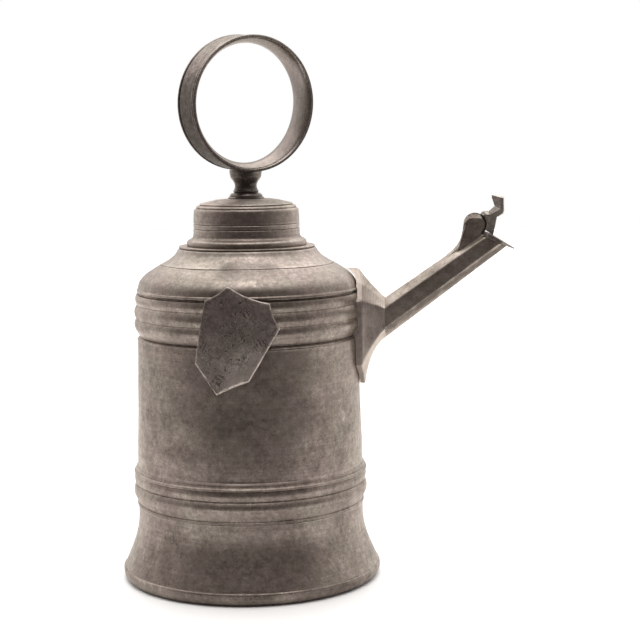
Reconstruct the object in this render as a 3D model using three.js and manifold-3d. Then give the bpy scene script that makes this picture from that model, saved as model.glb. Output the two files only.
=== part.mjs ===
// A bell-shaped pewter wine jug: a turned body on a foot ring, a six-sided spout that a hinged flap
// closes, and a lid that locks on the neck with two lugs and is carried by a broad ring.
// Millimetres, Z up. In its own group the jug's axis is Z, it stands on Z = 0 and the spout points
// along +X. The outer group moves it so that the origin lies under the middle of the whole object.
import * as THREE from "three";
import { mergeVertices } from "three/addons/utils/BufferGeometryUtils.js";
import Module from "manifold-3d";

const wasm = await Module();
wasm.setup();

// Fits
const seam = 0.3; // soldered pieces, where one is cut to the other
const runningGap = 0.4; // pieces that move past each other
const pinGap = 0.2; // the pin in its holes
const wall = 2.2; // turned castings of the body

// Foot and body: outside radii, and heights of the castings
const footRadius = 84.3;
const footHeight = 8.3;
const footStandRadius = 80.0;
const footRounding = 5.2;
const footLedge = 1.0;
const footEdge = 0.4;
const footLip = 2.5;
const footRebate = 0.5;
const floorRecess = 5.0;
const floorThickness = 2.0;
const skirtHeight = 39.9;
const drumRadius = 71.6; // at its upper end
const drumTaper = 2.0; // wider at its lower end
const drumHeight = 81.4;
const shoulderHeight = 25.7;
const shoulderTopRadius = 44.4;
const incisedLineHeight = 15.1; // above the upper band
const incisedLineRadius = 56.3;
const incisedLineDepth = 0.5;

// Mouldings, bottom to top: height, how far the upper edge stands out from the drum, swell, and
// where the swell peaks
const lowerBandRibs = [
  { height: 2.2, out: 0, swell: 0.9, peak: 0.5, steps: 2 },
  { height: 12.4, out: 1.1, swell: 2.2, peak: 0.62, steps: 5 },
  { height: 6.7, out: 1.6, swell: 0.9, peak: 0.5, steps: 4 },
  { height: 2.5, out: 1.3, swell: 1.1, peak: 0.5, steps: 2 },
  { height: 2.9, out: 0, swell: 0.8, peak: 0.5, steps: 2 },
];
const upperBandRibs = [
  { height: 2.2, out: -1.6, swell: 0.7, peak: 0.4, steps: 2 },
  { height: 11.7, out: 0.9, swell: 2.1, peak: 0.62, steps: 5 },
  { height: 8.9, out: 0.3, swell: 1.45, peak: 0.58, steps: 5 },
  { height: 7.2, out: 0.4, swell: 1.1, peak: 0.55, steps: 4 },
  { height: 3.0, out: -0.4, swell: 0.8, peak: 0.45, steps: 2 },
];

// Collar and neck, inside the lid
const collarRadius = 43.7;
const collarThickness = 1.3;
const collarSpigot = 2.0;
const neckWall = 1.8;
const neckHeight = 18.0; // above the collar
const ridgeRise = 2.0;
const ridgeThickness = 2.4;
const ridgeBelowRim = 3.0;
const lugWidth = 20.0;
const lugThickness = 2.6;
const lugDrop = 2.0; // below the ridge, so that it can turn under it

// Lid
const lidRadius = 34.4;
const lidTaper = 0.6;
const lidWall = 1.6;
const lidFlangeRadius = 38.7;
const lidFlangeEdge = 1.3;
const lidFlareHeight = 7.8;
const lidWallHeight = 23.1;
const lidLines = [10.8, 13.9];
const lidLineDepth = 0.4;
const lidLineWidth = 0.9;
const capThickness = 1.8;
const capSteps = [
  { radius: 33.3, height: 0.5 },
  { radius: 32.0, height: 1.1 },
  { radius: 31.9, height: 2.2 },
  { radius: 30.0, height: 2.8 },
  { radius: 29.6, height: 4.0 },
];
const capHeight = 6.9;

// Knop and ring
const knopFootRadius = 11.7;
const knopFootEdge = 0.7;
const knopGrooveRadius = 8.3;
const knopWaistRadius = 7.1;
const knopTopRadius = 10.4;
const knopHeight = 18.9;
const knopTenonRadius = 4.0;
const ringRadius = 43.3;
const ringWall = 2.0; // at its edges
const ringSwell = 3.3; // how much thicker it is in the middle of its width
const ringWidth = 22.8;
const ringRimWidth = 1.6;
const ringRimRise = 0.35;
const ringSunk = 1.3; // into the knop
const ringLean = 3.0; // of its top towards the shield
const ringTurn = 35.2; // turn of the lid with its ring from the plane of the spout

// Spout: from a point in the boot's outer end along a straight axis
const spoutOut = 15.7; // from the crest of the upper band
const spoutDrop = 20.4; // below the shoulder
const spoutPitch = 35.66;
const spoutLength = 84.6;
const spoutStartRadius = 10.8;
const spoutEndRadius = 8.9;
const spoutWall = 1.6;
const mouthPitch = -24.2;
const mouthTopAlong = 79.4; // where the cut of the mouth meets the top ridge

// Boot of the spout: heights above the lower edge of the shoulder
const bootTop = 11.5;
const bootUpper = -9.0;
const bootLower = -50.0;
const bootTip = -63.5;
const bootHalfWidth = 14.0;
const bootRim = 2.2;
const bootCurl = 1.2; // how far its side edges lie back

// Hinge
const pinAlong = 81.6;
const pinRise = 5.8; // above the top ridge
const pinRadius = 1.6;
const pinHead = 0.6;
const earRadius = 7.2;
const earThickness = 1.8;
const knuckleRadius = 5.2;
const knuckleWidth = 3.6;
const bracketStartAlong = 54.6;

// Flap, in the plane of the mouth: along it from the top ridge, and above it
const bladeEnd = 25.6;
const bladeShoulder = 16.0;
const bladeHalfWidth = 8.6;
const bladeRootHalfWidth = 5.4;
const bladeTipHalfWidth = 0.9;
const bladeThickness = 2.8;
const bladeTipThickness = 0.8;
const bladeRootTaper = 2.9;
const blockDepth = 5.8;

// Thumb lever: its outline from the pin, across and up, from the foot of the block round its back
// and the thumb-piece to the ear
const leverOutline = [
  [13.1, 0.3],
  [14.1, 4.5],
  [18.0, 6.5],
  [18.6, 8.6],
  [18.4, 17.3],
  [10.8, 18.5],
  [10.8, 16.8],
  [12.6, 11.5],
  [8.9, 8.2],
  [5.3, 8.2],
];

// Shield on the upper band: corners across and above the shoulder's lower edge, and how far the
// edge after each one draws in
const shieldCorners = [
  { across: -3.1, up: 7.1, drawn: 1.5 },
  { across: 22.2, up: -3.8, drawn: 1.0 },
  { across: 28.2, up: -19.2, drawn: 0 },
  { across: 14.3, up: -43.0, drawn: 0 },
  { across: 8.9, up: -51.7, drawn: 0.5 },
  { across: -11.2, up: -60.2, drawn: 0 },
  { across: -24.4, up: -40.5, drawn: -0.4 },
  { across: -17.6, up: -1.5, drawn: 0.9 },
];
const shieldThickness = 1.8;
const shieldBend = 100;

const bodySides = 40;
const lidSides = 40;
const knopSides = 24;
const ringSides = 56;
const sheetSides = 120;
const earSides = 24;
const pinSides = 16;
const far = 400; // longer than any piece, for cutting blocks

// Heights that follow from the castings
const total = (ribs) => ribs.reduce((sum, rib) => sum + rib.height, 0);
const skirtTop = footHeight + skirtHeight;
const drumBottom = skirtTop + total(lowerBandRibs);
const drumTop = drumBottom + drumHeight;
const shoulderBottom = drumTop + total(upperBandRibs);
const shoulderTop = shoulderBottom + shoulderHeight;
const collarTop = shoulderTop + collarThickness;
const lidWallTop = collarTop + lidWallHeight;
const capTop = lidWallTop + capHeight;
const ringSeat = capTop + knopHeight - ringSunk;

// Radii that follow from the lid and the drum
const lidInside = lidRadius - lidWall;
const ridgeRadius = lidInside - 2 * runningGap;
const neckRadius = ridgeRadius - ridgeRise;
const drumFoot = drumRadius + drumTaper;

// A turned piece: an outline of [radius, height] that closes on itself, or runs from axis to axis.
function turned(outline, sides) {
  const points = outline.map(([r, z]) => new THREE.Vector2(r, z));
  if (THREE.ShapeUtils.area(points) < 0) points.reverse();
  const onAxis = points[0].x === 0 && points.at(-1).x === 0;
  if (!onAxis) points.push(points[0].clone());
  return new THREE.LatheGeometry(points, sides).rotateX(Math.PI / 2);
}

function bezier(corners, steps) {
  const [a, b, c, d] = corners.map(([r, z]) => new THREE.Vector2(r, z));
  const curve = new THREE.CubicBezierCurve(a, b, c, d);
  return curve.getPoints(steps).map((p) => [p.x, p.y]);
}

// The outline of a moulding: each rib swells between its lower and upper edge.
function ribbed(ribs, base, start) {
  const outline = [[base, start]];
  for (const rib of ribs) {
    const [radius, height] = outline.at(-1);
    const lean = Math.log(0.5) / Math.log(rib.peak);
    for (let i = 1; i <= rib.steps; i++) {
      const t = i / rib.steps;
      const swell = rib.swell * Math.sin(Math.PI * t ** lean);
      const edge = THREE.MathUtils.lerp(radius, base + rib.out, t);
      outline.push([edge + swell, height + rib.height * t]);
    }
  }
  return outline;
}

// An outline that runs upwards, moved outwards at right angles to itself. Its ends keep their
// heights.
function offset(outline, distance) {
  return outline.map(([r, z], i) => {
    if (i === 0 || i === outline.length - 1) return [r + distance, z];
    const [r0, z0] = outline[i - 1];
    const [r1, z1] = outline[i + 1];
    const length = Math.hypot(r1 - r0, z1 - z0);
    return [r + (distance * (z1 - z0)) / length, z - (distance * (r1 - r0)) / length];
  });
}

// The inner side of a wall, with every second point of the outline in front of it.
function inside(outline) {
  const last = outline.length - 1;
  return offset(outline, -wall).filter((_, i) => i % 2 === 0 || i === last).reverse();
}

// A flat outline of [x, z], made into a plate that is centred on the plane y = 0.
function plate(outline, width) {
  const shape = new THREE.Shape(outline.map(([x, z]) => new THREE.Vector2(x, z)));
  const made = new THREE.ExtrudeGeometry(shape, { depth: width, bevelEnabled: false });
  return solid(made.rotateX(Math.PI / 2).translate(0, width / 2, 0));
}

function rod(radius, width, sides) {
  const made = new THREE.CylinderGeometry(radius, radius, width, sides);
  return solid(made.translate(pin.x, 0, pin.z));
}

// A skin over rings of points, closed by a fan at each end.
function loft(rings) {
  const count = rings[0].length;
  const positions = rings.flat().flatMap((p) => [p.x, p.y, p.z]);
  const index = [];
  for (let k = 0; k + 1 < rings.length; k++) {
    for (let i = 0; i < count; i++) {
      const a = k * count + i;
      const b = k * count + ((i + 1) % count);
      index.push(a, b, b + count, a, b + count, a + count);
    }
  }
  const last = (rings.length - 1) * count;
  for (let i = 1; i + 1 < count; i++) {
    index.push(0, i + 1, i, last, last + i, last + i + 1);
  }
  const geometry = new THREE.BufferGeometry();
  geometry.setAttribute("position", new THREE.Float32BufferAttribute(positions, 3));
  return solid(geometry.setIndex(index));
}

// Everything beyond a plane through a point, as a block for cutting.
function beyond(point, normal) {
  const up = new THREE.Vector3(0, 0, 1);
  const turn = new THREE.Quaternion().setFromUnitVectors(up, normal);
  const made = new THREE.BoxGeometry(far, far, far).translate(0, 0, far / 2);
  return solid(made.applyQuaternion(turn).translate(point.x, point.y, point.z));
}

function block(from, to) {
  const [width, depth, height] = from.map((low, i) => to[i] - low);
  const made = new THREE.BoxGeometry(width, depth, height);
  return solid(made.translate(...from.map((low, i) => (low + to[i]) / 2)));
}

function solid(geometry) {
  const bare = geometry.clone();
  bare.deleteAttribute("normal");
  bare.deleteAttribute("uv");
  const merged = mergeVertices(bare, 1e-4);
  const vertProperties = merged.getAttribute("position").array;
  const triVerts = new Uint32Array(merged.index.array);
  return new wasm.Manifold(new wasm.Mesh({ numProp: 3, vertProperties, triVerts }));
}

function skinOf(body) {
  const mesh = body.getMesh();
  const geometry = new THREE.BufferGeometry();
  geometry.setAttribute("position", new THREE.BufferAttribute(mesh.vertProperties, 3));
  return geometry.setIndex(new THREE.BufferAttribute(mesh.triVerts, 1));
}

const pewter = (color, roughness) =>
  new THREE.MeshStandardMaterial({ color, roughness, metalness: 1, flatShading: true });
const darkPewter = pewter(0x82766c, 0.45);
const brightPewter = pewter(0xa2968c, 0.38);
const platePewter = pewter(0x7a706a, 0.4);

function piece(name, geometry, material) {
  const mesh = new THREE.Mesh(geometry, material);
  mesh.name = name;
  return mesh;
}

// Body outlines, from the skirt up
const skirtOutline = bezier(
  [
    [footRadius - footLedge, footHeight],
    [footRadius - 3.3, footHeight + 6.7],
    [drumFoot + 0.2, footHeight + 18.7],
    [drumFoot, skirtTop],
  ],
  6,
);
const lowerBandOutline = ribbed(lowerBandRibs, drumFoot, skirtTop);
const drumOutline = [
  [drumFoot, drumBottom],
  [drumRadius, drumTop],
];
const upperBandOutline = ribbed(upperBandRibs, drumRadius, drumTop);
const crest = Math.max(...upperBandOutline.map(([r]) => r));
const shoulderStart = drumRadius + upperBandRibs.at(-1).out;
const incisedLine = shoulderBottom + incisedLineHeight;
const dome = bezier(
  [
    [shoulderStart, shoulderBottom],
    [shoulderStart - 0.3, shoulderBottom + 8.0],
    [incisedLineRadius + 7.2, incisedLine - 4.2],
    [incisedLineRadius, incisedLine],
  ],
  6,
);
const cone = bezier(
  [
    [incisedLineRadius - 0.9, incisedLine + 0.5],
    [incisedLineRadius - 6.0, incisedLine + 3.4],
    [shoulderTopRadius + 1.8, shoulderTop - 4.4],
    [shoulderTopRadius, shoulderTop],
  ],
  4,
);
const lineBottom = [incisedLineRadius - 0.7, incisedLine - incisedLineDepth];
const shoulderOutline = [...dome, lineBottom, ...cone];

// Directions and points on the spout
const pitch = THREE.MathUtils.degToRad(spoutPitch);
const mouthAngle = THREE.MathUtils.degToRad(mouthPitch);
const spoutStart = new THREE.Vector3(crest + spoutOut, 0, shoulderBottom - spoutDrop);
const alongSpout = new THREE.Vector3(Math.cos(pitch), 0, Math.sin(pitch));
const acrossSpout = new THREE.Vector3(-Math.sin(pitch), 0, Math.cos(pitch));
const alongMouth = new THREE.Vector3(Math.cos(mouthAngle), 0, Math.sin(mouthAngle));
const outOfMouth = new THREE.Vector3(-Math.sin(mouthAngle), 0, Math.cos(mouthAngle));

function spoutRadiusAt(along) {
  return THREE.MathUtils.lerp(spoutStartRadius, spoutEndRadius, along / spoutLength);
}

function onSpout(along, across) {
  const p = spoutStart.clone().addScaledVector(alongSpout, along);
  return p.addScaledVector(acrossSpout, across);
}

const onRidge = (along, rise = 0) => onSpout(along, spoutRadiusAt(along) + rise);
const mouthTop = onRidge(mouthTopAlong);
const pin = onRidge(pinAlong, pinRise);

// A point of the flap as [x, z], from its place along the mouth and above it.
function onMouth(along, above) {
  const p = mouthTop.clone().addScaledVector(alongMouth, along).addScaledVector(outOfMouth, above);
  return [p.x, p.z];
}

function aroundPin(radius, degrees) {
  const angle = THREE.MathUtils.degToRad(degrees);
  return [pin.x + radius * Math.cos(angle), pin.z + radius * Math.sin(angle)];
}

// A six-sided bar along the spout's axis with a corner on top, grown at its sides.
function spoutBar(grown) {
  const ring = (along) => {
    const radius = spoutRadiusAt(along) + grown / Math.cos(Math.PI / 6);
    return Array.from({ length: 6 }, (_, i) => {
      const angle = (i * Math.PI) / 3;
      const corner = onSpout(along, radius * Math.cos(angle));
      return corner.setY(-radius * Math.sin(angle));
    });
  };
  return loft([ring(-40), ring(spoutLength + 40)]);
}

const bore = spoutBar(-spoutWall);

// A cast band: its mouldings in front of a straight inner wall.
function band(outline, ribs) {
  const inner = outline[0][0] + Math.min(...ribs.map((rib) => rib.out)) - wall;
  return turned([...outline, [inner, outline.at(-1)[1]], [inner, outline[0][1]]], bodySides);
}

function makeBody() {
  const rounding = Array.from({ length: 5 }, (_, i) => {
    const angle = (i * Math.PI) / 8;
    const reach = (footRadius - footStandRadius) * Math.sin(angle);
    return [footStandRadius + reach, footRounding * (1 - Math.cos(angle))];
  });
  const rebate = footStandRadius - footRebate;
  const foot = [
    [rebate - footLip, 0],
    ...rounding,
    [footRadius, footHeight - footEdge],
    [footRadius - footEdge, footHeight],
    [rebate, footHeight],
    [rebate, floorRecess],
    [rebate - footLip, floorRecess],
  ];
  const floor = [
    [0, floorRecess],
    [rebate - seam, floorRecess],
    [rebate - seam, floorRecess + floorThickness],
    [0, floorRecess + floorThickness],
  ];
  const shell = (outline) => turned([...outline, ...inside(outline)], bodySides);
  const shoulder = turned([...shoulderOutline, ...inside([...dome, ...cone.slice(1)])], bodySides);
  const drum = solid(shell(drumOutline)).subtract(bore);
  const upperBand = solid(band(upperBandOutline, upperBandRibs)).subtract(bore);
  return [
    piece("foot_ring", turned(foot, bodySides), darkPewter),
    piece("floor_disc", turned(floor, bodySides), darkPewter),
    piece("skirt", shell(skirtOutline), darkPewter),
    piece("lower_band", band(lowerBandOutline, lowerBandRibs), darkPewter),
    piece("drum", skinOf(drum), darkPewter),
    piece("upper_band", skinOf(upperBand), darkPewter),
    piece("shoulder", shoulder, brightPewter),
  ];
}

// The neck stands on the collar. The ridge below its rim has two gaps for the lid's lugs.
function makeNeck() {
  const rim = collarTop + neckHeight;
  const ridgeTop = rim - ridgeBelowRim;
  const ridgeBottom = ridgeTop - ridgeThickness;
  const spigot = shoulderTopRadius - wall - seam;
  const neckInside = neckRadius - neckWall;
  const outline = [
    [neckInside, shoulderTop],
    [spigot - neckWall, shoulderTop],
    [spigot - neckWall, shoulderTop - collarSpigot],
    [spigot, shoulderTop - collarSpigot],
    [spigot, shoulderTop],
    [collarRadius, shoulderTop],
    [collarRadius, collarTop],
    [neckRadius, collarTop],
    [neckRadius, ridgeBottom],
    [ridgeRadius, ridgeBottom],
    [ridgeRadius, ridgeTop],
    [neckRadius, ridgeTop],
    [neckRadius, rim],
    [neckInside, rim],
  ];
  const gap = lugWidth / 2 + 2 * runningGap;
  const around = solid(turned(
    [
      [neckRadius, ridgeBottom - seam],
      [lidRadius, ridgeBottom - seam],
      [lidRadius, ridgeTop + seam],
      [neckRadius, ridgeTop + seam],
    ],
    lidSides,
  ));
  const across = block([-far, -gap, 0], [far, gap, far]).rotate([0, 0, ringTurn]);
  const neck = solid(turned(outline, lidSides)).subtract(around.intersect(across));
  return [piece("neck_collar", skinOf(neck), brightPewter)];
}

// The boot carries the spout on the wall. Each half of its edge has a top, a bend where it leans
// over the shoulder, an upper and a lower corner, and a tip. It narrows in curves to the spout, and
// its back is cut to the body.
function makeBoot() {
  const back = crest + seam;
  const front = back + bootRim;
  const [topZ, upperZ, lowerZ, tipZ] = [bootTop, bootUpper, bootLower, bootTip].map(
    (height) => shoulderBottom + height,
  );
  const upright = spoutStartRadius / Math.cos(pitch);
  const side = spoutStartRadius * Math.cos(Math.PI / 6);
  const endX = spoutStart.x;
  const end = spoutStart.z;
  const at = (x, y, z) => new THREE.Vector3(x, y, z);
  // Behind the body's skin, at the front edge, the bending point, and the end at the spout
  const top = [
    at(back - 14, 0, topZ),
    at(front - 3.8, 0, topZ),
    at(back + 6.5, 0, topZ - 10),
    at(endX, 0, end + upright + 1.6),
  ];
  const bend = [
    at(back - 8, bootHalfWidth / 2, (topZ + upperZ) / 2 + 1),
    at(front - 1.5, bootHalfWidth / 2, (topZ + upperZ) / 2 + 1),
    at(back + 7, side / 2 + 0.8, upperZ + 4.5),
    at(endX, side / 2, end + 0.75 * upright + 0.8),
  ];
  const upper = [
    at(back - 8, bootHalfWidth, upperZ),
    at(front - bootCurl, bootHalfWidth, upperZ),
    at(back + 8, side + 1, upperZ - 2),
    at(endX, side, end + upright / 2),
  ];
  const lower = [
    at(back - 8, bootHalfWidth, lowerZ),
    at(front - bootCurl, bootHalfWidth, lowerZ),
    at(back + 5.5, side + 1.5, lowerZ + 11),
    at(endX, side, end - upright / 2),
  ];
  const tip = [
    at(back - 8, 0, tipZ),
    at(front, 0, tipZ),
    at(front + 2.6, 0, tipZ + 22),
    at(endX, 0, end - upright),
  ];
  const mirrored = ([...edge]) => edge.map((p) => at(p.x, -p.y, p.z));
  const edges = [top, mirrored(bend), mirrored(upper), mirrored(lower), tip, lower, upper, bend];
  const rings = [edges.map((edge) => edge[0])];
  const steps = 6;
  for (let k = 0; k <= steps; k++) {
    const ring = edges.map(([, from, over, to]) =>
      new THREE.QuadraticBezierCurve3(from, over, to).getPoint(k / steps),
    );
    rings.push(ring);
  }
  const outline = [...drumOutline, ...upperBandOutline.slice(1), ...shoulderOutline.slice(1)];
  const grown = offset(outline, seam);
  const core = solid(turned([[0, drumBottom], ...grown, [0, shoulderTop]], bodySides));
  const boot = loft(rings).subtract(core).subtract(bore);
  return [piece("spout_boot", skinOf(boot), darkPewter)];
}

function makeSpout() {
  const start = block([-far, -far, -far], [spoutStart.x + seam, far, far]);
  const tube = spoutBar(0).subtract(bore).subtract(start).subtract(beyond(mouthTop, outOfMouth));
  return [piece("spout_tube", skinOf(tube), darkPewter)];
}

// Two ears on one saddle, cut to the roof of the spout, with the pin through them.
function makeHinge() {
  const width = knuckleWidth + 2 * runningGap + 2 * earThickness;
  const start = onRidge(bracketStartAlong);
  const left = pin.x - earRadius;
  const fillet = bezier(
    [
      [start.x, start.z],
      [start.x + 7.5, start.z + 5.8],
      [left - 1.8, pin.z - 12],
      [left, pin.z],
    ],
    5,
  );
  const ear = [150, 120, 90, 60, 30, 0, -30, -55].map((angle) => aroundPin(earRadius, angle));
  const inMouth = onSpout(mouthTopAlong, 0);
  const inSpout = onSpout(bracketStartAlong, 0);
  const outline = [...fillet, ...ear, [inMouth.x, inMouth.z], [inSpout.x, inSpout.z]];
  const half = knuckleWidth / 2 + runningGap;
  const room = knuckleRadius + 2 * runningGap;
  const slot = rod(room, 2 * half, earSides)
    .add(block([pin.x, -half, 0], [far, half, far]))
    .add(block([0, -half, pin.z], [far, half, far]));
  const bracket = plate(outline, width)
    .subtract(slot)
    .subtract(rod(pinRadius + pinGap, far, pinSides))
    .subtract(spoutBar(seam));
  return [
    piece("hinge_bracket", skinOf(bracket), darkPewter),
    piece("hinge_pin", skinOf(rod(pinRadius, width + 2 * pinHead, pinSides)), brightPewter),
  ];
}

// The blade lies over the mouth with its point past the lip. The lever is one casting: a knuckle on
// the pin, an arm between the ears, a block behind them and the thumb-piece above it.
function makeFlap() {
  const rim = knuckleWidth + 2 * runningGap + 2 * earThickness;
  const top = seam + bladeThickness;
  const away = earRadius + runningGap;
  // The blade starts where its root clears the ears.
  const pinInMouth = pin.clone().sub(mouthTop);
  const pinAbove = pinInMouth.dot(outOfMouth);
  const bladeStart = pinInMouth.dot(alongMouth) + Math.sqrt(away ** 2 - (pinAbove - top) ** 2) + 0.1;
  const blockEnd = bladeStart + blockDepth;
  const side = plate(
    [
      onMouth(bladeStart, seam),
      onMouth(bladeEnd, seam),
      onMouth(bladeEnd, seam + bladeTipThickness),
      onMouth(blockEnd, top),
      onMouth(bladeStart, top),
    ],
    far,
  );
  const half = [
    [bladeStart - 1, bladeRootHalfWidth - 0.8],
    [bladeStart + bladeRootTaper, bladeHalfWidth],
    [bladeShoulder, bladeHalfWidth],
    [bladeEnd, bladeTipHalfWidth],
  ];
  const plan = [...half, ...half.map(([x, y]) => [x, -y]).reverse()];
  const shape = new THREE.Shape(plan.map(([x, y]) => new THREE.Vector2(x, y)));
  const sheet = new THREE.ExtrudeGeometry(shape, { depth: far, bevelEnabled: false });
  sheet.translate(0, 0, -far / 2).rotateY(-mouthAngle).translate(mouthTop.x, 0, mouthTop.z);
  const blade = side.intersect(solid(sheet));

  const arc = [62, 40, 20, 0, -30].map((angle) => aroundPin(away, angle));
  const lever = [
    ...arc,
    onMouth(bladeStart, top + seam),
    onMouth(blockEnd, top + seam),
    ...leverOutline.map(([x, z]) => [pin.x + x, pin.z + z]),
  ];
  const arm = [
    aroundPin(knuckleRadius - 0.2, 75),
    aroundPin(away + 0.6, 52),
    aroundPin(away + 0.6, -30),
    aroundPin(knuckleRadius - 0.2, -50),
  ];
  const casting = plate(lever, rim)
    .add(plate(arm, knuckleWidth))
    .add(rod(knuckleRadius, knuckleWidth, earSides))
    .subtract(rod(pinRadius + pinGap, far, pinSides));
  return [
    piece("flap_blade", skinOf(blade), darkPewter),
    piece("thumb_lever", skinOf(casting), darkPewter),
  ];
}

function makeShield() {
  const points = shieldCorners.flatMap((from, i) => {
    const to = shieldCorners[(i + 1) % shieldCorners.length];
    const a = new THREE.Vector2(from.across, shoulderBottom + from.up);
    const b = new THREE.Vector2(to.across, shoulderBottom + to.up);
    if (from.drawn === 0) return [a];
    const inwards = new THREE.Vector2(b.y - a.y, a.x - b.x).normalize();
    const middle = a.clone().lerp(b, 0.5).addScaledVector(inwards, 2 * from.drawn);
    return new THREE.QuadraticBezierCurve(a, middle, b).getPoints(5).slice(0, -1);
  });
  const outline = plate(points.map((p) => [p.x, p.y]), far);
  const sheet = [
    [shieldBend, drumBottom],
    [shieldBend + shieldThickness, drumBottom],
    [shieldBend + shieldThickness, shoulderTop],
    [shieldBend, shoulderTop],
  ];
  const bent = solid(turned(sheet, sheetSides).translate(0, shieldBend - crest - seam, 0));
  const front = block([-far, -far, 0], [far, 0, far]);
  return [piece("shield", skinOf(bent.intersect(outline).intersect(front)), platePewter)];
}

function makeLid() {
  const flange = lidFlangeRadius;
  const flareTop = collarTop + lidFlareHeight;
  const flare = bezier(
    [
      [flange, collarTop + lidFlangeEdge],
      [flange - 2.4, collarTop + lidFlangeEdge + 3.2],
      [lidRadius + 0.2, flareTop - 3.4],
      [lidRadius, flareTop],
    ],
    5,
  );
  const lines = lidLines.flatMap((height) => {
    const z = collarTop + height;
    return [
      [lidRadius - 0.1, z - lidLineWidth / 2],
      [lidRadius - 0.1 - lidLineDepth, z],
      [lidRadius - 0.1, z + lidLineWidth / 2],
    ];
  });
  const outline = [
    [lidInside, collarTop],
    [flange - footEdge, collarTop],
    [flange, collarTop + footEdge],
    ...flare,
    ...lines,
    [lidRadius - lidTaper, lidWallTop],
    [lidInside, lidWallTop],
  ];
  const ridgeBottom = collarTop + neckHeight - ridgeBelowRim - ridgeThickness;
  const lugTop = ridgeBottom - lugDrop;
  const lugRing = turned(
    [
      [neckRadius + runningGap, lugTop - lugThickness],
      [lidInside + lidWall / 2, lugTop - lugThickness],
      [lidInside + lidWall / 2, lugTop],
      [neckRadius + runningGap, lugTop],
    ],
    lidSides,
  );
  const across = block([-far, -lugWidth / 2, 0], [far, lugWidth / 2, far]);
  const lugs = solid(lugRing).intersect(across.rotate([0, 0, ringTurn]));
  const lid = solid(turned(outline, lidSides)).add(lugs);

  const slope = capSteps.map(({ radius, height }) => [radius, lidWallTop + height]);
  const hole = knopTenonRadius + seam;
  const seat = knopFootRadius + seam;
  const capRim = [lidRadius - lidTaper - 0.2, lidWallTop];
  const capInside = capRim[0] - capThickness;
  const underEdge = [slope.at(-1)[0] - capThickness, slope.at(-1)[1] - capThickness];
  const cap = [
    capRim,
    ...slope,
    [(seat + slope.at(-1)[0]) / 2, capTop - 0.9],
    [seat, capTop],
    [hole, capTop],
    [hole, capTop - capThickness],
    [seat, capTop - capThickness],
    underEdge,
    [capInside, lidWallTop],
  ];
  return [
    piece("lid_wall", skinOf(lid), brightPewter),
    piece("lid_cap", turned(cap, lidSides), brightPewter),
  ];
}

// The knop's tenon passes through the cap, and the ring is soldered into the hollow of its top.
function makeHandle() {
  const z = (share) => capTop + share * knopHeight;
  const outline = [
    [0, capTop - capThickness - seam],
    [knopTenonRadius, capTop - capThickness - seam],
    [knopTenonRadius, capTop],
    [knopFootRadius, capTop],
    [knopFootRadius, capTop + knopFootEdge],
    [knopTopRadius, z(0.11)],
    [knopGrooveRadius + 1.0, z(0.18)],
    [knopGrooveRadius - 0.3, z(0.215)],
    [knopGrooveRadius, z(0.25)],
    [knopWaistRadius + 0.35, z(0.32)],
    [knopWaistRadius, z(0.4)],
    [knopWaistRadius + 0.35, z(0.52)],
    [knopTopRadius - 1.2, z(0.66)],
    [knopTopRadius - 0.35, z(0.78)],
    [knopTopRadius, z(0.88)],
    [knopTopRadius, z(1)],
    [0, z(1)],
  ];
  const half = ringWidth / 2;
  const rimFoot = half - ringRimWidth - ringRimRise;
  const outside = (gap) => {
    const radius = ringRadius + gap;
    return [
      [radius, half],
      [radius, rimFoot + ringRimRise - gap],
      [radius - ringRimRise, rimFoot - gap],
      [radius - ringRimRise, gap - rimFoot],
      [radius, gap - rimFoot - ringRimRise],
      [radius, -half],
    ];
  };
  const bulge = [-1, -0.5, 0, 0.5, 1].map((share) => {
    const swell = ringSwell * (1 - share ** 2);
    return [ringRadius - ringWall - swell, share * half];
  });
  const spin = THREE.MathUtils.degToRad(ringTurn);
  const lean = THREE.MathUtils.degToRad(ringLean);
  // Stood up on its lowest line, leant over it, then turned
  const upright = (geometry) => {
    const standing = geometry.rotateX(-Math.PI / 2).translate(0, 0, ringRadius);
    return standing.rotateX(lean).rotateZ(spin).translate(0, 0, ringSeat);
  };
  const ring = turned([...outside(0), ...bulge], ringSides);
  const room = turned([[0, half], ...outside(seam), [0, -half]], ringSides);
  const knop = solid(turned(outline, knopSides)).subtract(solid(upright(room)));
  return [
    piece("knop", skinOf(knop), brightPewter),
    piece("ring_handle", upright(ring), brightPewter),
  ];
}

const jug = new THREE.Group();
jug.add(...makeBody(), ...makeNeck(), ...makeBoot(), ...makeSpout(), ...makeHinge());
jug.add(...makeFlap(), ...makeShield(), ...makeLid(), ...makeHandle());

const middle = new THREE.Box3().setFromObject(jug).getCenter(new THREE.Vector3());
const object = new THREE.Group();
object.add(jug.translateX(-middle.x).translateY(-middle.y));
export default object;
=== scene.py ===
import math

import bpy
from mathutils import Matrix, Vector


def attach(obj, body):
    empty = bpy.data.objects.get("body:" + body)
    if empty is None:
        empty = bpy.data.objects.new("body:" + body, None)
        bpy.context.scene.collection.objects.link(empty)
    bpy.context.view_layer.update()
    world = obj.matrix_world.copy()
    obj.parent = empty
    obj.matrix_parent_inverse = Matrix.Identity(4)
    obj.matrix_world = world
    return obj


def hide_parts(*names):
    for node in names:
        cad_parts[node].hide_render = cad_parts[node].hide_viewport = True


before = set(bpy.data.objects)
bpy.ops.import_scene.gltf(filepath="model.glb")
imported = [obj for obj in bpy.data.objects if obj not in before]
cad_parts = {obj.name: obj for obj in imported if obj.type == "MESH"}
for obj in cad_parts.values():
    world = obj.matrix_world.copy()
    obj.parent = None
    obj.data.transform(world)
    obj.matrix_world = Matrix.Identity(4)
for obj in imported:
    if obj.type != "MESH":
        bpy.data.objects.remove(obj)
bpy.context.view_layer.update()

MM = 0.001
SAME_SPOT = 1e-6
UP = Vector((0, 0, 1))
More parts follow.
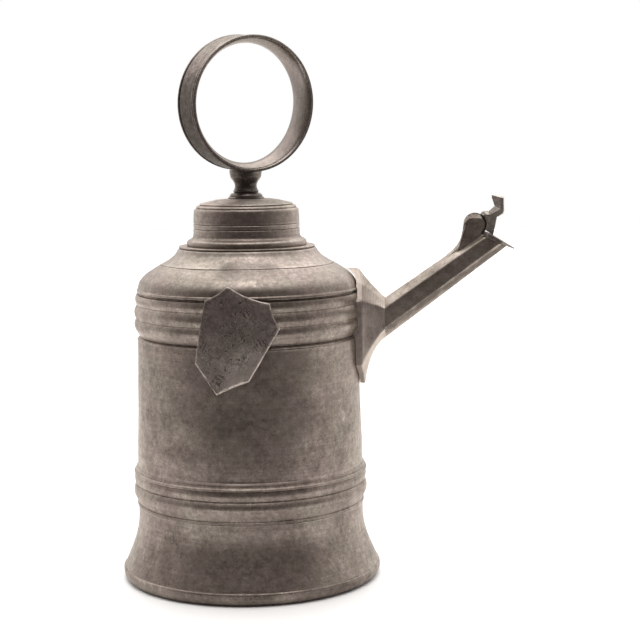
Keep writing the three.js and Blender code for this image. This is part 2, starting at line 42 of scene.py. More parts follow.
# The turned body stands off the middle, because the spout makes the whole longer on one side
AXIS = Vector((-0.04403, 0.0, 0.0))
ROUND = 192

# Heights of the castings, in millimetres above the table
SKIRT_TOP = 48.2
DRUM_BOTTOM = 74.9
DRUM_TOP = 156.3
SHOULDER_BOTTOM = 189.3
SHOULDER_TOP = 215.0
COLLAR_TOP = 216.3
NECK_RIM = COLLAR_TOP + 18.0
RIDGE_TOP = NECK_RIM - 3.0
RIDGE_LOW = RIDGE_TOP - 2.4
LUG_TOP = RIDGE_LOW - 2.0
LID_WALL_TOP = 239.4
CAP_TOP = 246.3
KNOP_TOP = 265.2
RING_SEAT = 263.9

# How the carrying ring is turned round the axis, and how its top leans towards the shield
RING_TURN = math.radians(35.2)
RING_LEAN = math.radians(3.0)


# Picking, drawing and cutting

def clear():
    """Nothing stays picked."""
    bpy.ops.object.select_all(action="DESELECT")


def take(piece):
    """Makes one piece the only one picked."""
    clear()
    piece.select_set(True)
    bpy.context.view_layer.objects.active = piece


def name_it(name):
    """Names the piece that was just added."""
    piece = bpy.context.object
    piece.name = name
    piece.data.name = name
    return piece


def edit():
    """Opens the picked piece for shaping."""
    bpy.ops.object.mode_set(mode="EDIT")
    bpy.ops.mesh.select_mode(type="VERT")


def done():
    bpy.ops.object.mode_set(mode="OBJECT")


def settle(piece):
    """Puts the piece's place into its mesh."""
    take(piece)
    bpy.ops.object.transform_apply(location=True, rotation=True, scale=True)


def pick(piece, kind, wanted):
    """Selects, in edit mode, the corners, edges or faces that a test on their middle, and on a
    face's normal, says yes to."""
    bpy.ops.mesh.select_all(action="DESELECT")
    bpy.ops.mesh.select_mode(type=kind)
    done()
    mesh = piece.data
    place = piece.matrix_world
    if kind == "VERT":
        for corner in mesh.vertices:
            corner.select = bool(wanted(place @ corner.co))
    elif kind == "EDGE":
        for edge in mesh.edges:
            a, b = (place @ mesh.vertices[i].co for i in edge.vertices)
            edge.select = bool(wanted(a, b))
    else:
        for face in mesh.polygons:
            face.select = bool(wanted(place @ face.center, face.normal))
    bpy.ops.object.mode_set(mode="EDIT")


def apply(piece, kind, settings):
    """Adds a modifier with its settings and applies it."""
    take(piece)
    change = piece.modifiers.new(kind.lower(), kind)
    for key, value in settings.items():
        setattr(change, key, value)
    bpy.ops.object.modifier_apply(modifier=change.name)


def smooth(piece, degrees):
    take(piece)
    bpy.ops.object.shade_smooth_by_angle(angle=math.radians(degrees))


def clean():
    """Merges corners that share a spot and turns all faces outwards."""
    bpy.ops.mesh.select_all(action="SELECT")
    bpy.ops.mesh.remove_doubles(threshold=SAME_SPOT)
    bpy.ops.mesh.normals_make_consistent(inside=False)


def drawn(name, points):
    """A line drawn point by point, in metres, left in edit mode with all of it selected."""
    clear()
    bpy.ops.mesh.primitive_plane_add(size=MM, location=points[0])
    piece = name_it(name)
    edit()
    bpy.ops.mesh.merge(type="CENTER")
    for a, b in zip(points, points[1:]):
        bpy.ops.mesh.extrude_region_move(TRANSFORM_OT_translate={"value": b - a})
    bpy.ops.mesh.select_all(action="SELECT")
    return piece


def closer(outline, gap):
    """The same outline with points no further apart than the gap."""
    made = outline[:1]
    for (r0, z0), (r1, z1) in zip(outline, outline[1:]):
        count = max(1, math.ceil(math.hypot(r1 - r0, z1 - z0) / gap))
        made += [[r0 + (r1 - r0) * i / count, z0 + (z1 - z0) * i / count]
                 for i in range(1, count + 1)]
    return made


def spun(name, outline, centre=AXIS, axis=UP, out=Vector((1, 0, 0)), steps=ROUND):
    """A turned piece: an outline of [radius, height] in millimetres, spun once round the axis."""
    points = [centre + out * r * MM + axis * z * MM for r, z in closer(outline, 1.6)]
    piece = drawn(name, points)
    bpy.ops.mesh.spin(steps=steps, angle=math.tau, center=centre, axis=axis)
    clean()
    done()
    settle(piece)
    return piece


def slab(name, outline, width):
    """A flat outline of [x, z] in metres, filled and drawn out along Y."""
    points = [Vector((x, -width / 2, z)) for x, z in outline]
    piece = drawn(name, points + points[:1])
    bpy.ops.mesh.remove_doubles(threshold=SAME_SPOT)
    bpy.ops.mesh.edge_face_add()
    bpy.ops.mesh.extrude_region_move(TRANSFORM_OT_translate={"value": (0, width, 0)})
    clean()
    done()
    settle(piece)
    return piece


def bar(name, start, end, radii, sides, corner=UP):
    """A bar with flat sides between two points, thicker or thinner at its far end, with a corner
    on the side that is named."""
    clear()
    along = (end - start).normalized()
    bpy.ops.mesh.primitive_circle_add(vertices=sides, radius=radii[0], fill_type="NGON")
    piece = name_it(name)
    edit()
    bpy.ops.mesh.select_all(action="SELECT")
    bpy.ops.mesh.extrude_region_move(
        TRANSFORM_OT_translate={"value": (0, 0, (end - start).length)}
    )
    ratio = radii[1] / radii[0]
    bpy.ops.transform.resize(value=(ratio, ratio, 1), center_override=(0, 0, 0))
    clean()
    done()
    turn = Matrix((corner.cross(along), corner, along)).transposed().to_4x4()
    piece.matrix_world = Matrix.Translation(start) @ turn
    settle(piece)
    return piece


def box_between(name, low, high):
    """A box between two corners."""
    clear()
    low, high = Vector(low), Vector(high)
    bpy.ops.mesh.primitive_cube_add(size=1, location=(low + high) / 2)
    piece = name_it(name)
    piece.scale = high - low
    settle(piece)
    return piece


def cut(piece, tools, operation="DIFFERENCE"):
    """Cuts a piece with others, which are used up."""
    for tool in tools:
        settings = {"operation": operation, "object": tool, "solver": "MANIFOLD"}
        apply(piece, "BOOLEAN", settings)
        bpy.data.objects.remove(tool)
    return piece


def copied(name, node):
    """A piece on the outline of a node of the frame, its loose triangles merged into faces."""
    clear()
    piece = bpy.data.objects.new(name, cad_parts[node].data.copy())
    bpy.context.scene.collection.objects.link(piece)
    piece.data.name = name
    piece.data.materials.clear()
    take(piece)
    edit()
    bpy.ops.mesh.select_all(action="SELECT")
    bpy.ops.mesh.remove_doubles(threshold=1e-5)
    bpy.ops.mesh.dissolve_limited(angle_limit=math.radians(0.6))
    done()
    return piece


def chamfer(piece, wanted, width, segments):
    """Breaks the edges that a test picks, to a width in millimetres."""
    take(piece)
    edit()
    pick(piece, "EDGE", wanted)
    bpy.ops.mesh.bevel(offset=width * MM, segments=segments, affect="EDGES")
    done()


def cut_up(piece, size):
    """Splits edges longer than a size in millimetres, so that wear has spots to sit on."""

    def into_triangles():
        bpy.ops.mesh.select_all(action="SELECT")
        bpy.ops.mesh.quads_convert_to_tris(quad_method="BEAUTY", ngon_method="BEAUTY")
        done()

    take(piece)
    edit()
    into_triangles()
    for _ in range(6):
        edit()
        pick(piece, "EDGE", lambda a, b: (b - a).length > size * MM)
        done()
        if not any(edge.select for edge in piece.data.edges):
            break
        bpy.ops.object.mode_set(mode="EDIT")
        bpy.ops.mesh.subdivide(number_cuts=1)
        into_triangles()


def soften(piece, width=0.35, degrees=24):
    """Rounds every edge sharper than an angle, then splits the faces for wear."""
    settings = {"width": width * MM, "segments": 3, "limit_method": "ANGLE",
                "angle_limit": math.radians(degrees), "harden_normals": False}
    apply(piece, "BEVEL", settings)
    cut_up(piece, 1.6)


def lofted(name, rings):
    """A skin over rings of corners: the first ring is a circle pulled into shape, and each next
    ring is drawn out of the last one and pulled into shape, corner by corner."""
    clear()
    count = len(rings[0])
    bpy.ops.mesh.primitive_circle_add(vertices=count, radius=MM, fill_type="NGON")
    piece = name_it(name)
    edit()
    done()
    order = list(range(count))
    for number, ring in enumerate(rings):
        if number:
            bpy.ops.object.mode_set(mode="EDIT")
            bpy.ops.mesh.extrude_region_move(TRANSFORM_OT_translate={"value": (0, 0, 0)})
            done()
            fresh = [corner.index for corner in piece.data.vertices if corner.select]
            before = rings[number - 1]
            order = [
                min(fresh, key=lambda i: (piece.data.vertices[i].co - place).length)
                for place in before
            ]
        for index, place in zip(order, ring):
            for corner in piece.data.vertices:
                corner.select = corner.index == index
            for edge in piece.data.edges:
                edge.select = False
            for face in piece.data.polygons:
                face.select = False
            way = place - piece.data.vertices[index].co
            bpy.ops.object.mode_set(mode="EDIT")
            bpy.ops.transform.translate(value=way)
            done()
        for corner in piece.data.vertices:
            corner.select = corner.index in order
        bpy.ops.object.mode_set(mode="EDIT")
        bpy.ops.mesh.select_mode(type="FACE")
        bpy.ops.mesh.select_mode(type="VERT")
        done()
    bpy.ops.object.mode_set(mode="EDIT")
    clean()
    done()
    return piece


uneven = bpy.data.textures.new("uneven", "CLOUDS")
uneven.noise_scale = 0.045
uneven.noise_depth = 1
hammered = bpy.data.textures.new("hammered", "CLOUDS")
hammered.noise_scale = 0.011
hammered.noise_depth = 1


def worn(piece, broad=0.5, fine=0.12):
    """Long use has left the metal a little out of true: millimetres, over broad and small spots."""
    for texture, depth in ((uneven, broad), (hammered, fine)):
        settings = {"texture": texture, "texture_coords": "LOCAL", "strength": depth * MM,
                    "mid_level": 0.5}
        apply(piece, "DISPLACE", settings)


def dent(piece, place, depth, size):
    """Pushes a small dent into a wall, in millimetres, towards the jug's axis."""
    take(piece)
    edit()
    pick(piece, "VERT", lambda corner: (corner - place).length < 2.5 * MM)
    way = AXIS - place
    way.z = 0
    bpy.ops.transform.translate(
        value=way.normalized() * depth * MM, use_proportional_edit=True,
        proportional_edit_falloff="SMOOTH", proportional_size=size * MM,
    )
    done()


def mark_edges(piece):
    """Stores how far each spot stands out or lies in a corner, for the finish: spots that stand
    out are made paler, part wear and part painted highlight, and corners darker, part grime and
    part painted shade.
    """
    mesh = piece.data
    count = len(mesh.vertices)
    lift = [0.0] * count
    weight = [0.0] * count
    for edge in mesh.edges:
        a, b = edge.vertices
        va, vb = mesh.vertices[a], mesh.vertices[b]
        along = vb.co - va.co
        length = along.length
        if length < 1e-7:
            continue
        lift[a] += va.normal.dot(along)
        lift[b] -= vb.normal.dot(along)
        weight[a] += length
        weight[b] += length
    rub = mesh.attributes.new("rub", "FLOAT", "POINT")
    nook = mesh.attributes.new("nook", "FLOAT", "POINT")
    for i in range(count):
        bend = lift[i] / weight[i] if weight[i] else 0.0
        rub.data[i].value = min(1.0, max(0.0, -bend * 2.6))
        nook.data[i].value = min(1.0, max(0.0, bend * 3.4))


def curve(corners, steps):
    """A smooth curve between its first and last corner, drawn towards the two between them."""
    made = []
    for i in range(steps + 1):
        t = i / steps
        s = 1 - t
        share = (s ** 3, 3 * s * s * t, 3 * s * t * t, t ** 3)
        made.append([sum(k * corner[axis] for k, corner in zip(share, corners)) for axis in (0, 1)])
    return made


def ribbed(ribs, base, start):
    """The outline of a moulding: each rib is height, how far its upper edge stands out, how far it
    swells, where the swell peaks, and in how many steps it is drawn."""
    outline = [[base, start]]
    for height, out, swell, peak, steps in ribs:
        radius, low = outline[-1]
        lean = math.log(0.5) / math.log(peak)
        for i in range(1, steps + 1):
            t = i / steps
            bulge = swell * math.sin(math.pi * t ** lean) ** 0.85
            outline.append([radius + (base + out - radius) * t + bulge, low + height * t])
    return outline


def shell(outline, inner):
    """An outline with the wall's inner side behind it, closed on itself."""
    return outline + inner + outline[:1]


# The body, from the foot up

def make_foot():
    """The turned rim that the jug stands on, with the floor let into it."""
    rim = [[80.0 + 4.3 * math.sin(a), 5.2 * (1 - math.cos(a))]
           for a in (math.pi / 2 * i / 8 for i in range(9))]
    outline = [
        [77.0, 0.5], [77.6, 0.05], *rim, [84.35, 6.2], [84.3, 7.0], [84.05, 7.65],
        [83.6, 8.1], [83.1, 8.3], [79.5, 8.3], [79.5, 5.0], [77.0, 5.0], [77.0, 0.5],
    ]
    foot = spun("foot_rim", outline)
    worn(foot, 0.55, 0.14)
    floor = spun("floor_plate", [
        [0, 5.0], [30, 5.0], [55, 5.0], [79.2, 5.0], [79.2, 7.0], [0, 7.0],
    ])
    worn(floor, 0.3, 0.05)
    return [(foot, "foot_ring"), (floor, "floor_disc")]


def make_wall():
    """Skirt, cast band, drum, cast band and shoulder, each with its own wall behind it."""
    skirt_line = curve([[83.2, 8.3], [80.9, 15.0], [73.6, 27.0], [73.75, 42.5]], 26)
    skirt_line += [[73.7, 45.0], [73.65, 47.2], [73.6, SKIRT_TOP]]
    skirt = spun("skirt_wall", shell(skirt_line, [
        [71.4, SKIRT_TOP], [71.6, 34.0], [73.6, 25.0], [77.4, 15.0], [81.1, 8.3],
    ]))
    worn(skirt, 0.7, 0.08)

    lower_line = ribbed([
        (2.2, 0.0, 0.9, 0.45, 8),
        (12.4, 1.0, 2.2, 0.6, 26),
        (6.7, 1.6, 1.0, 0.45, 18),
        (2.5, 1.2, 1.1, 0.42, 10),
        (2.9, 0.0, 0.45, 0.4, 10),
    ], 73.6, SKIRT_TOP)
    lower = spun("lower_moulding", shell(lower_line, [[71.4, DRUM_BOTTOM], [71.4, SKIRT_TOP]]))
    worn(lower, 0.5, 0.06)

    drum_line = [
        [73.6, DRUM_BOTTOM], [73.6, 75.5], [73.58, 76.5], [73.5, 82.0], [73.4, 89.0],
        [73.2, 95.5], [73.0, 102.0], [72.75, 108.5], [72.5, 115.0], [72.3, 121.5],
        [72.15, 128.0], [71.95, 134.5], [71.8, 141.0], [71.65, 148.0], [71.62, 154.5],
        [71.6, 155.7], [71.6, DRUM_TOP],
    ]
    drum = spun("drum_wall", shell(drum_line, [
        [69.4, DRUM_TOP], [70.4, 115.0], [71.3, DRUM_BOTTOM],
    ]))
    dent(drum, Vector((-0.0766, -0.0640, 0.0975)), 0.9, 12)
    dent(drum, Vector((-0.0445, -0.0722, 0.1190)), 0.5, 15)
    worn(drum, 0.9, 0.07)

    upper_line = ribbed([
        (2.2, -1.6, 0.75, 0.36, 8),
        (11.7, 0.9, 2.1, 0.6, 26),
        (8.9, 0.3, 1.45, 0.52, 20),
        (6.7, 0.75, 0.85, 0.5, 14),
    ], 71.6, DRUM_TOP)
    upper_line += [
        [71.4, 186.0], [70.75, 186.25], [70.6, 186.8], [71.0, 187.15], [71.75, 187.3],
        [72.0, 187.7], [71.95, 188.3], [71.7, 188.8], [71.2, SHOULDER_BOTTOM],
    ]
    upper = spun("upper_moulding", shell(upper_line, [[67.8, SHOULDER_BOTTOM], [67.8, DRUM_TOP]]))
    worn(upper, 0.5, 0.06)

    dome = curve([[71.2, SHOULDER_BOTTOM], [70.9, 196.5], [63.9, 200.0], [56.3, 204.4]], 22)
    cone = curve([[55.4, 204.9], [50.3, 207.6], [46.5, 210.0], [44.7, 214.2]], 14)
    cone += [[44.5, 214.4], [44.1, 214.6], [43.3, 214.65], [42.9, 214.8], [42.9, SHOULDER_TOP]]
    shoulder = spun("shoulder_wall", shell([*dome, [55.75, 203.9], [55.55, 204.0], *cone], [
        [42.2, SHOULDER_TOP], [44.5, 209.4], [49.0, 206.0], [55.0, 202.4], [62.0, 198.6],
        [67.2, 195.0], [69.0, SHOULDER_BOTTOM],
    ]))
    worn(shoulder, 0.7, 0.06)
    return [
        (skirt, "skirt"), (lower, "lower_band"), (drum, "drum"), (upper, "upper_band"),
        (shoulder, "shoulder"),
    ]


def strip_across(half):
    """A strip through the axis, turned as the ring is: what it keeps of a collar is two facing
    lugs."""
    strip = box_between("strip", (-0.1, -half * MM, 0.2), (0.1, half * MM, 0.26))
    strip.matrix_world = Matrix.Translation(AXIS) @ Matrix.Rotation(RING_TURN, 4, "Z")
    settle(strip)
    return strip


def make_neck():
    """The ledge under the lid, and the neck with its ridge, notched where the lid's lugs pass."""
    neck = spun("neck_rim", [
        [28.2, SHOULDER_TOP], [40.1, SHOULDER_TOP], [40.1, 213.0], [41.9, 213.0],
        [41.9, SHOULDER_TOP], [42.6, SHOULDER_TOP], [42.9, 215.15], [43.9, 215.2],
        [44.1, 215.45], [44.05, 215.85], [43.7, 216.15], [43.1, COLLAR_TOP], [30.6, COLLAR_TOP],
        [30.0, 217.0], [30.0, RIDGE_LOW], [31.7, RIDGE_LOW], [32.0, RIDGE_LOW + 0.3],
        [32.0, RIDGE_TOP - 0.3], [31.7, RIDGE_TOP], [30.0, RIDGE_TOP], [30.0, NECK_RIM - 0.4],
        [29.6, NECK_RIM], [28.6, NECK_RIM], [28.2, NECK_RIM - 0.4], [28.2, SHOULDER_TOP],
    ])
    notches = spun("notches", [
        [30.0, RIDGE_LOW - 0.3], [34.4, RIDGE_LOW - 0.3], [34.4, RIDGE_TOP + 0.3],
        [30.0, RIDGE_TOP + 0.3], [30.0, RIDGE_LOW - 0.3],
    ])
    cut(notches, [strip_across(10.8)], "INTERSECT")
    cut(neck, [notches])
    return [(neck, "neck_collar")]


# The lid with its ring

def make_lid():
    """The lid's wall with its flare, incised lines and lugs, and its stepped top."""
    flare = [[38.8, 217.6], [38.8, 218.2], [38.65, 218.9], [38.3, 219.5], [37.8, 220.0],
             [37.1, 220.4], [36.4, 220.75], [35.7, 221.15], [35.1, 221.65], [34.7, 222.3],
             [34.5, 223.1], [34.45, 224.2], [34.4, 225.4]]
    grooves = []
    for height in (227.5, 230.6):
        grooves += [[34.3, height - 0.75], [33.85, height - 0.3], [33.85, height - 0.1],
                    [34.2, height + 0.1]]
    wall = spun("lid_side", [
        [32.8, COLLAR_TOP], [38.3, COLLAR_TOP], [38.6, 216.5], [38.75, 217.0], *flare, *grooves,
        [34.1, 234.0], [33.8, 239.0], [33.6, LID_WALL_TOP], [32.8, LID_WALL_TOP],
        [32.8, COLLAR_TOP],
    ])
    lug_low = LUG_TOP - 2.6
    lugs = spun("lugs", [
        [30.4, lug_low], [33.5, lug_low], [33.5, LUG_TOP], [30.4, LUG_TOP], [30.4, lug_low],
    ])
    cut(lugs, [strip_across(10.0)], "INTERSECT")
    cut(wall, [lugs], "UNION")
    worn(wall, 0.4, 0.05)
    cap = spun("lid_top", [
        [33.55, LID_WALL_TOP], [33.4, 239.45], [32.9, 239.9], [32.4, 240.2], [32.15, 240.35],
        [32.15, 240.55], [32.35, 240.75], [32.3, 241.15], [31.7, 241.75], [30.9, 242.05],
        [30.2, 242.1], [29.9, 242.3], [29.9, 242.6], [30.1, 242.85], [29.5, 243.3],
        [26.0, 244.1], [20.8, 245.4], [16.0, 246.0], [12.0, CAP_TOP], [4.3, CAP_TOP],
        [4.3, 244.5], [12.0, 244.5], [27.8, 241.6], [31.8, LID_WALL_TOP], [33.55, LID_WALL_TOP],
    ])
    worn(cap, 0.7, 0.16)
    return [(wall, "lid_wall"), (cap, "lid_cap")]


RING_WAY = Matrix.Rotation(RING_TURN, 3, "Z") @ Matrix.Rotation(RING_LEAN, 3, "X")
RING_AXIS = RING_WAY @ Vector((0, -1, 0))
RING_OUTER = 43.3
RING_CENTRE = AXIS + UP * RING_SEAT * MM + RING_WAY @ Vector((0, 0, RING_OUTER * MM))


def make_handle():
    """The ring, whose outline has a raised rim at each side and a bulge inside, and its knop."""
    out = RING_WAY @ Vector((1, 0, 0))
    half = 11.4
    side = [
        [42.9, -half], [43.2, -half + 0.2], [RING_OUTER, -half + 0.6], [43.25, -half + 1.3],
        [42.6, -half + 1.7], [42.2, -half + 2.1], [42.4, -half + 2.7], [42.93, -half + 3.3],
    ]
    middle = [[42.93, w] for w in (-6.0, -3.0, 0.0, 3.0, 6.0)]
    bulge = [[38.0 + 3.3 * (w / half) ** 2, w] for w in (10.9, 9.0, 7.0, 5.0, 2.5, 0.0)]
    section = side + middle + [[r, -w] for r, w in reversed(side)]
    section += [[41.6, half], *bulge, *([r, -w] for r, w in bulge[-2::-1]), [41.6, -half]]
    ring = spun("carrying_ring", section + section[:1], RING_CENTRE, RING_AXIS, out)
    worn(ring, 0.35, 0.1)

    knop = spun("knop_stem", [
        [0, 244.2], [4.0, 244.2], [4.0, CAP_TOP], [11.5, CAP_TOP], [11.75, 246.5],
        [11.6, 246.95], [11.0, 247.2], [10.7, 247.45], [10.5, 248.2], [10.1, 248.9],
        [9.5, 249.4], [9.2, 249.6], [8.3, 249.75], [7.95, 250.1], [7.95, 250.45], [8.35, 250.75],
        [8.3, 251.1], [7.9, 251.5], [7.5, 252.3], [7.2, 253.2], [7.08, 254.0], [7.1, 254.9],
        [7.3, 255.8], [7.65, 256.6], [8.2, 257.5], [9.0, 258.5], [9.6, 259.4], [9.95, 260.2],
        [10.1, 261.1], [10.2, 261.9], [10.4, 262.6], [10.45, 263.6], [10.35, KNOP_TOP],
        [0, KNOP_TOP],
    ], steps=96)
    hollow = spun("hollow", [
        [0, -20], [43.45, -20], [43.45, -9.2], [43.1, -8.8], [43.1, 8.8], [43.45, 9.2],
        [43.45, 20], [0, 20],
    ], RING_CENTRE, RING_AXIS, out)
    cut(knop, [hollow])
    worn(knop, 0.25, 0.15)
    return [(ring, "ring_handle"), (knop, "knop")]


# The spout

PITCH = math.radians(35.66)
MOUTH = math.radians(-24.2)
SPOUT_FOOT = (89.32, 168.9)
SPOUT_START = AXIS + Vector((SPOUT_FOOT[0], 0, SPOUT_FOOT[1])) * MM
ALONG = Vector((math.cos(PITCH), 0, math.sin(PITCH)))
ACROSS = Vector((-math.sin(PITCH), 0, math.cos(PITCH)))
OUT_OF_MOUTH = Vector((-math.sin(MOUTH), 0, math.cos(MOUTH)))
SPOUT_LENGTH = 84.6
SPOUT_RADII = (10.8, 8.9)
SPOUT_WALL = 1.6
# Along the spout: the saddle's foot, and the upper corner of the mouth
SADDLE_AT = 54.6
MOUTH_AT = 79.4


def spout_radius(along):
    thick, thin = SPOUT_RADII
    return thick + (thin - thick) * along / SPOUT_LENGTH


def on_spout(along, across):
    """A spot along and across the spout, in millimetres, in its upright middle plane."""
    return SPOUT_START + (ALONG * along + ACROSS * across) * MM


def spout_bar(name, grown, start=-40.0, end=SPOUT_LENGTH + 40.0):
    """The spout's six-sided bar with a corner on top, grown at its sides."""
    extra = grown / math.cos(math.pi / 6)
    radii = [(spout_radius(along) + extra) * MM for along in (start, end)]
    return bar(name, on_spout(start, 0), on_spout(end, 0), radii, 6, ACROSS)


def make_spout():
    """The straight channel, cut upright at the foot and at a slant at the mouth."""
    tube = spout_bar("spout_channel", 0, -10)
    mouth_top = on_spout(MOUTH_AT, spout_radius(MOUTH_AT))
    take(tube)
    edit()
    bpy.ops.mesh.select_all(action="SELECT")
    bpy.ops.mesh.bisect(
        plane_co=mouth_top, plane_no=OUT_OF_MOUTH, use_fill=True, clear_outer=True
    )
    bpy.ops.mesh.select_all(action="SELECT")
    bpy.ops.mesh.bisect(
        plane_co=SPOUT_START + Vector((0.05 * MM, 0, 0)), plane_no=(1, 0, 0),
        use_fill=True, clear_inner=True,
    )

    def long_edge(a, b):
        return abs((b - a).normalized().dot(ALONG)) > 0.99

    pick(tube, "EDGE", long_edge)
    bpy.ops.mesh.bevel(offset=0.8 * MM, segments=4, affect="EDGES")
    clean()
    done()
    cut(tube, [spout_bar("bore", -SPOUT_WALL)])

    def lip(a, b):
        return all(abs((end - mouth_top).dot(OUT_OF_MOUTH)) < 0.02 * MM for end in (a, b))

    chamfer(tube, lip, 0.25, 2)
    cut_up(tube, 2.5)
    worn(tube, 0.3, 0.08)
    return [(tube, "spout_tube")]


def make_boot():
    """The spout's foot: eight corners round, drawn out ring by ring from behind the wall. Each
    line of corners runs from inside the wall over the plate's face to the spout's end."""
    back = 73.6 + 0.3
    front = back + 2.2
    top_z, upper_z, lower_z, tip_z = (SHOULDER_BOTTOM + h for h in (11.5, -9.0, -50.0, -63.5))
    half = 14.0
    curl = 1.2
    side = 9.35
    end_x, end = SPOUT_FOOT
    middle_z = (top_z + upper_z) / 2 + 1
    top = [(back - 14, 0, top_z), (front - 3.8, 0, top_z), (back + 6.5, 0, top_z - 10),
           (end_x, 0, end + 13.0)]
    bend = [(back - 8, half / 2, middle_z), (front - 1.5, half / 2, middle_z),
            (back + 7, side / 2 + 0.8, upper_z + 4.5), (end_x, side / 2, end + 9.8)]
    upper = [(back - 8, half, upper_z), (front - curl, half, upper_z),
             (back + 8, side + 1, upper_z - 2), (end_x, side, end + 6.6)]
    lower = [(back - 8, half, lower_z), (front - curl, half, lower_z),
             (back + 5.5, side + 1.5, lower_z + 11), (end_x, side, end - 6.7)]
    tip = [(back - 8, 0, tip_z), (front, 0, tip_z), (front + 2.6, 0, tip_z + 22),
           (end_x, 0, end - 13.4)]

    def mirrored(edge):
        return [(x, -y, z) for x, y, z in edge]

    edges = [top, mirrored(bend), mirrored(upper), mirrored(lower), tip, lower, upper, bend]
    rings = [[Vector(edge[0]) for edge in edges]]
    steps = 14
    for k in range(steps + 1):
        t = k / steps
        rings.append([
            Vector(e[1]) * (1 - t) ** 2 + Vector(e[2]) * 2 * t * (1 - t) + Vector(e[3]) * t * t
            for e in edges
        ])
    boot = lofted("spout_foot", [[AXIS + p * MM for p in ring] for ring in rings])
    core = spun("core", [
        [0, DRUM_BOTTOM], [73.9, DRUM_BOTTOM], [71.9, DRUM_TOP], [70.4, 158.5], [71.5, 161.0],
        [73.6, 164.5], [73.8, 167.0], [72.6, 170.2], [73.5, 173.0], [73.6, 175.5],
        [72.0, 179.1], [73.0, 182.5], [72.6, 186.0], [72.4, 188.0], [71.5, SHOULDER_BOTTOM],
        [71.2, 193.0], [69.6, 196.4], [66.3, 199.4], [61.6, 202.2], [56.4, 204.7], [0, 204.7],
    ])
    cut(boot, [core, spout_bar("bore", -SPOUT_WALL)])
    end_plane = AXIS.x + (end_x - 0.05) * MM

    def outer_edge(a, b):
        off = [math.hypot(p.x - AXIS.x, p.y) / MM for p in (a, b)]
        return max(a.x, b.x) < end_plane and min(off) > 74.5

    chamfer(boot, outer_edge, 0.7, 3)
    cut_up(boot, 2.5)
    worn(boot, 0.5, 0.1)
    return [(boot, "spout_boot")]


# The hinge, the flap and the shield

PIN = AXIS + Vector((146.99, 0, 228.47)) * MM
EAR_RADIUS = 7.2


def from_pin(place):
    """Across and up from the pin, in millimetres."""
    away = (place - PIN) / MM
    return away.x, away.z


def round_pin(name, half, radius, sides):
    """A round bar on the hinge's axis, its half length and radius in millimetres."""
    reach = Vector((0, half * MM, 0))
    return bar(name, PIN - reach, PIN + reach, (radius * MM, radius * MM), sides)


def make_hinge():
    """Two ears on one saddle: the outline shrinks towards each ear's outer face, so that a wide
    slope runs round the ear and the saddle's foot runs out into the spout's ridge."""
    half, full = 4.0, 2.3
    start = from_pin(on_spout(SADDLE_AT, spout_radius(SADDLE_AT)))
    saddle = curve(
        [start, (start[0] + 7.5, start[1] + 5.8), (-9.0, -12.0), (-EAR_RADIUS, 0.0)], 12
    )
    turns = [math.radians(a) for a in range(165, -56, -11)]
    foot = [from_pin(on_spout(MOUTH_AT, 0)), from_pin(on_spout(SADDLE_AT, 0))]

    def sunk(x, depth):
        return depth * min(1.0, max(0.0, (-9.0 - x) / 3.0))

    ears = [(EAR_RADIUS * math.cos(t), EAR_RADIUS * math.sin(t)) for t in turns]
    crest = [*saddle, *ears, *foot]
    inner = [(x, z - sunk(x, 1.7)) for x, z in crest[:-2]] + foot
    outer = [
        (x + 0.25 + 1.5 * max(0.0, (z + 14.0) / 14.0) ** 1.5, z - sunk(x, 5.0)) for x, z in saddle
    ]
    for t in turns:
        reach = 6.6 - 2.5 * max(0.0, math.cos(t - math.radians(95))) ** 1.5
        outer.append((reach * math.cos(t) - 0.2, reach * math.sin(t)))
    outer += foot

    def layer(outline, y):
        return [PIN + Vector((x, y, z)) * MM for x, z in outline]

    bracket = lofted("hinge_saddle", [
        layer(outer, -half), layer(inner, -full), layer(crest, 0), layer(inner, full),
        layer(outer, half),
    ])
    gap = 2.2
    reach = Vector((0, gap, 0)) * MM
    room = bar("room", PIN - reach, PIN + reach, (6.0 * MM, 6.0 * MM), 40)
    ahead = box_between("ahead", (PIN.x, -gap * MM, 0.15), (0.2, gap * MM, 0.3))
    above = box_between("above", (PIN.x - 0.05, -gap * MM, PIN.z), (0.2, gap * MM, 0.3))
    cut(bracket, [room, ahead, above, spout_bar("roof", 0.05)])
    soften(bracket, 0.25, 30)
    cut(bracket, [round_pin("hole", 9, 1.61, 32)])
    worn(bracket, 0.2, 0.08)

    reach = Vector((0, 4.1, 0)) * MM
    pin = bar("hinge_rivet", PIN + reach, PIN - reach, (1.6 * MM, 1.6 * MM), 28)
    apply(pin, "BEVEL", {"width": 0.15 * MM, "segments": 2, "limit_method": "ANGLE",
                         "angle_limit": math.radians(40)})
    worn(pin, 0.2, 0.08)
    return [(bracket, "hinge_bracket"), (pin, "hinge_pin")]


# The thumb-piece from the pin, across and up: its full outline, and the one its sides shrink to
LEVER = [
    ((3.57, 6.71), (5.6, 5.3)), ((5.82, 4.89), (5.95, 4.75)), ((7.14, 2.6), (7.14, 2.6)),
    ((7.6, 0.0), (7.6, 0.0)), ((6.58, -3.8), (6.58, -3.8)), ((12.2, -6.3), (12.2, -6.3)),
    ((13.1, 0.3), (13.0, 0.3)), ((14.1, 4.5), (13.8, 4.7)), ((18.0, 6.5), (17.5, 6.9)),
    ((18.6, 8.6), (18.1, 8.8)), ((18.4, 17.3), (17.9, 16.7)), ((10.8, 18.5), (16.0, 17.0)),
    ((10.8, 16.8), (16.2, 15.9)), ((12.6, 11.5), (16.2, 9.8)), ((8.9, 8.2), (9.5, 6.1)),
    ((5.3, 8.2), (6.7, 6.1)),
]
ON_THE_BLADE = 5


